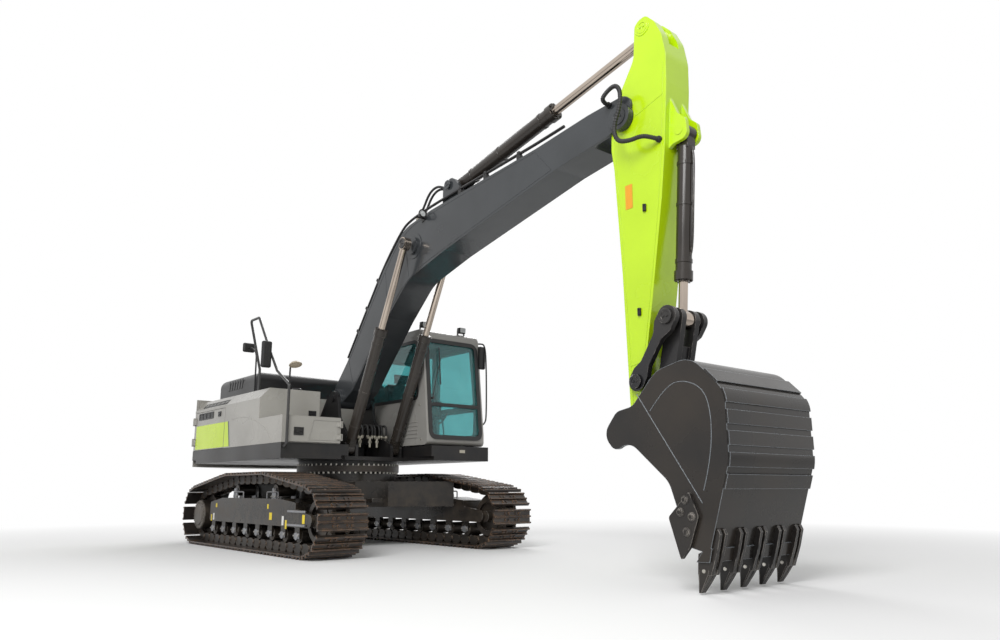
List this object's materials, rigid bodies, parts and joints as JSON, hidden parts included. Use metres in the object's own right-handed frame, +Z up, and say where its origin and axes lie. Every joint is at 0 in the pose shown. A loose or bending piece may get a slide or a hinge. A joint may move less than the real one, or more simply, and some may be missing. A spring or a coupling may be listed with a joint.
{
  "type": "crawler excavator",
  "caption": "Crawler excavator with a swinging upper body and cab, boom, arm and backhoe bucket on hydraulic cylinders, and steel tracks.",
  "frame": {"origin": "on the ground at the middle of the machine's box, with the boom, arm and bucket as stored", "axes": "+X forward along the tracks and the boom, +Y to the left (the cab's side), +Z up"},
  "size_m": [9.4185, 2.98, 5.0677],
  "materials": {
    "black_paint": "semi-gloss black paint",
    "grey_paint": "satin warm grey paint",
    "lime_paint": "gloss lime paint",
    "boom_paint": "gloss slate grey paint",
    "chrome": "hard chrome plated rod",
    "track_steel": "dark oiled steel with worn edges",
    "bucket_paint": "semi-gloss black paint",
    "cab_glass": "tinted safety glass",
    "seat_fabric": "dark seat cloth",
    "hose_rubber": "black hydraulic hose with spiral guard",
    "cast_parts": "black painted castings"
  },
  "bodies": {
    "undercarriage": {"carbody": "black_paint", "slew_ring": "black_paint", "track_frame_right": "black_paint", "track_right": "track_steel", "idler_right": "track_steel", "final_drive_right": "black_paint", "bottom_rollers_right": "track_steel", "carrier_rollers_right": "track_steel", "track_frame_left": "black_paint", "track_left": "track_steel", "idler_left": "track_steel", "final_drive_left": "black_paint", "bottom_rollers_left": "track_steel", "carrier_rollers_left": "track_steel"},
    "upper": {"main_frame": "black_paint", "counterweight": "grey_paint", "tanks": "grey_paint", "toolbox": "grey_paint", "engine_housing": "grey_paint", "engine_block": "cast_parts", "cab_shell": "grey_paint", "cab_seat": "seat_fabric", "valve_block": "cast_parts", "handrails": "black_paint"},
    "toolbox_door": {"toolbox_door": "grey_paint"},
    "pump_door": {"pump_door": "grey_paint"},
    "radiator_door": {"radiator_door": "grey_paint"},
    "engine_hood": {"engine_hood": "black_paint"},
    "cab_door": {"cab_door": "grey_paint", "cab_door_glass": "cab_glass"},
    "boom": {"boom": "boom_paint", "arm_hose": "hose_rubber"},
    "boom_barrel_right": {"boom_cylinder_barrel_right": "black_paint"},
    "boom_rod_right": {"boom_cylinder_rod_right": "chrome"},
    "boom_barrel_left": {"boom_cylinder_barrel_left": "black_paint"},
    "boom_rod_left": {"boom_cylinder_rod_left": "chrome"},
    "arm_barrel": {"arm_cylinder_barrel": "black_paint"},
    "arm_rod": {"arm_cylinder_rod": "chrome"},
    "arm": {"arm": "lime_paint"},
    "bucket_barrel": {"bucket_cylinder_barrel": "black_paint"},
    "bucket_rod": {"bucket_cylinder_rod": "chrome"},
    "tipping_links": {"tipping_links": "black_paint"},
    "bucket_link": {"bucket_link": "black_paint"},
    "bucket": {"bucket": "bucket_paint", "bucket_teeth": "bucket_paint"}
  },
  "joints": [
    {"name": "swing", "type": "hinge", "parent": "undercarriage", "child": "upper", "pos_m": [-1.81941, 0, 1.055], "axis": [0, 0, 1], "continuous": true},
    {"name": "boom_lift", "type": "hinge", "parent": "upper", "child": "boom", "pos_m": [-1.79941, 0, 1.98], "axis": [0, -1, 0], "range_deg": [-58, 33]},
    {"name": "arm_curl", "type": "hinge", "parent": "boom", "child": "arm", "pos_m": [3.47051, 0, 4.1521], "axis": [0, 1, 0], "range_deg": [-75, 46], "deforming": ["arm_hose"]},
    {"name": "bucket_curl", "type": "hinge", "parent": "arm", "child": "bucket", "pos_m": [3.59809, 0, 1.22988], "axis": [0, 1, 0], "range_deg": [0, 165]},
    {"name": "boom_cylinder_tilt_right", "type": "hinge", "parent": "upper", "child": "boom_barrel_right", "pos_m": [-1.21441, -0.335, 1.268], "axis": [0, -1, 0], "range_deg": [-53.87, 30.67]},
    {"name": "boom_cylinder_slide_right", "type": "slide", "parent": "boom_barrel_right", "child": "boom_rod_right", "axis": [0.4435, 0, 0.8963], "range_m": [-0.83159, 0.47336]},
    {"name": "boom_cylinder_tilt_left", "type": "hinge", "parent": "upper", "child": "boom_barrel_left", "pos_m": [-1.21441, 0.335, 1.268], "axis": [0, -1, 0], "range_deg": [-53.87, 30.67]},
    {"name": "boom_cylinder_slide_left", "type": "slide", "parent": "boom_barrel_left", "child": "boom_rod_left", "axis": [0.4435, 0, 0.8963], "range_m": [-0.83159, 0.47336]},
    {"name": "arm_cylinder_tilt", "type": "hinge", "parent": "boom", "child": "arm_barrel", "pos_m": [0.66594, 0, 4.36979], "axis": [0, 1, 0], "range_deg": [-4.89, 3.02]},
    {"name": "arm_cylinder_slide", "type": "slide", "parent": "arm_barrel", "child": "arm_rod", "axis": [0.9809, 0, 0.1944], "range_m": [-0.92374, 0.56675]},
    {"name": "bucket_cylinder_tilt", "type": "hinge", "parent": "arm", "child": "bucket_barrel", "pos_m": [4.04437, 0, 3.84684], "axis": [0, 1, 0], "range_deg": [-3.05, 0.05]},
    {"name": "bucket_cylinder_slide", "type": "slide", "parent": "bucket_barrel", "child": "bucket_rod", "axis": [-0.0713, 0, -0.9975], "range_m": [-0.0005, 0.98251]},
    {"name": "tipping_link_swing", "type": "hinge", "parent": "arm", "child": "tipping_links", "pos_m": [3.57934, 0, 1.65948], "axis": [0, 1, 0], "range_deg": [-0.05, 104.96]},
    {"name": "bucket_link_swing", "type": "hinge", "parent": "bucket", "child": "bucket_link", "pos_m": [3.80059, 0, 1.58], "axis": [0, 1, 0], "range_deg": [-122.05, 0.05]},
    {"name": "pump_door_swing", "type": "hinge", "parent": "upper", "child": "pump_door", "pos_m": [-4.03541, -1.383, 1.6], "axis": [0, 0, -1], "range_deg": [0, 110]},
    {"name": "radiator_door_swing", "type": "hinge", "parent": "upper", "child": "radiator_door", "pos_m": [-4.03541, 1.383, 1.6], "axis": [0, 0, 1], "range_deg": [0, 110]},
    {"name": "hood_lift", "type": "hinge", "parent": "upper", "child": "engine_hood", "pos_m": [-4.01141, 0, 2.067], "axis": [0, -1, 0], "range_deg": [0, 60]},
    {"name": "toolbox_door_swing", "type": "hinge", "parent": "upper", "child": "toolbox_door", "pos_m": [-0.94341, -0.614, 1.475], "axis": [0, 0, 1], "range_deg": [0, 100]},
    {"name": "cab_door_swing", "type": "hinge", "parent": "upper", "child": "cab_door", "pos_m": [-1.72541, 1.418, 2.1], "axis": [0, 0, 1], "range_deg": [0, 170]}
  ],
  "couplings": [
    {"joint": "boom_cylinder_tilt_right", "follows": "boom_lift", "ratio": 0.928},
    {"joint": "boom_cylinder_slide_right", "follows": "boom_lift", "m_per_rad": 0.821},
    {"joint": "boom_cylinder_tilt_left", "follows": "boom_lift", "ratio": 0.928},
    {"joint": "boom_cylinder_slide_left", "follows": "boom_lift", "m_per_rad": 0.821},
    {"joint": "arm_cylinder_tilt", "follows": "arm_curl", "ratio": 0.0645},
    {"joint": "arm_cylinder_slide", "follows": "arm_curl", "m_per_rad": 0.7053},
    {"joint": "bucket_cylinder_tilt", "follows": "bucket_curl", "ratio": -0.01818},
    {"joint": "bucket_cylinder_slide", "follows": "bucket_curl", "m_per_rad": 0.341},
    {"joint": "tipping_link_swing", "follows": "bucket_curl", "ratio": 0.6358},
    {"joint": "bucket_link_swing", "follows": "bucket_curl", "ratio": -0.7394}
  ]
}
